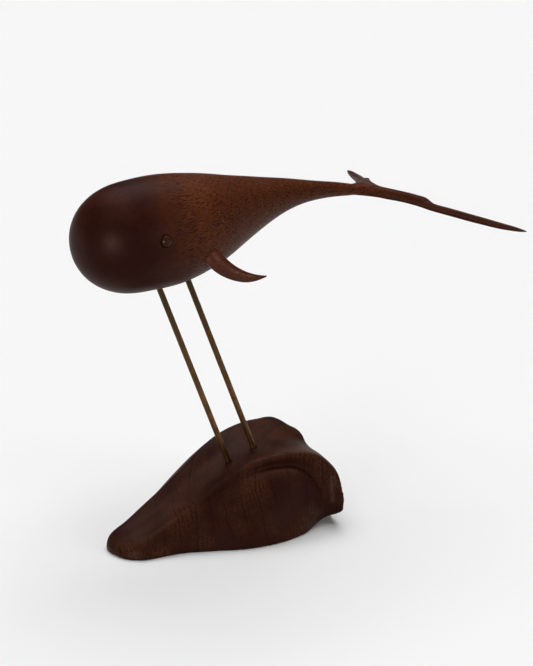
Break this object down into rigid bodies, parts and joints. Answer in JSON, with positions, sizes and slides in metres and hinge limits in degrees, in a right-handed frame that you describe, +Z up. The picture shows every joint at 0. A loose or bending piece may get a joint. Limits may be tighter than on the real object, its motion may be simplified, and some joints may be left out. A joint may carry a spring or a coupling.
{
  "type": "wooden whale figurine",
  "caption": "Carved dark-wood whale with curved fins and slender flukes, held above a wave-shaped wooden base by leaning brass rods.",
  "frame": {"origin": "on the table, in the flat underside of the base, under the middle of the base's length", "axes": "+X from the whale's head to its tail, -Y to the whale's left, +Z up from the table"},
  "size_m": [0.2479, 0.148, 0.2038],
  "materials": {
    "dark_wood": "satin",
    "dowel_wood": "plain",
    "eye_wood": "polished",
    "brass": "aged"
  },
  "bodies": {
    "root": {"base": "dark_wood", "front_rod": "brass", "rear_rod": "brass", "whale_body": "dark_wood", "left_fin": "dark_wood", "right_fin": "dark_wood", "left_fin_dowel": "dowel_wood", "right_fin_dowel": "dowel_wood", "left_eye": "eye_wood", "right_eye": "eye_wood"}
  },
  "joints": []
}
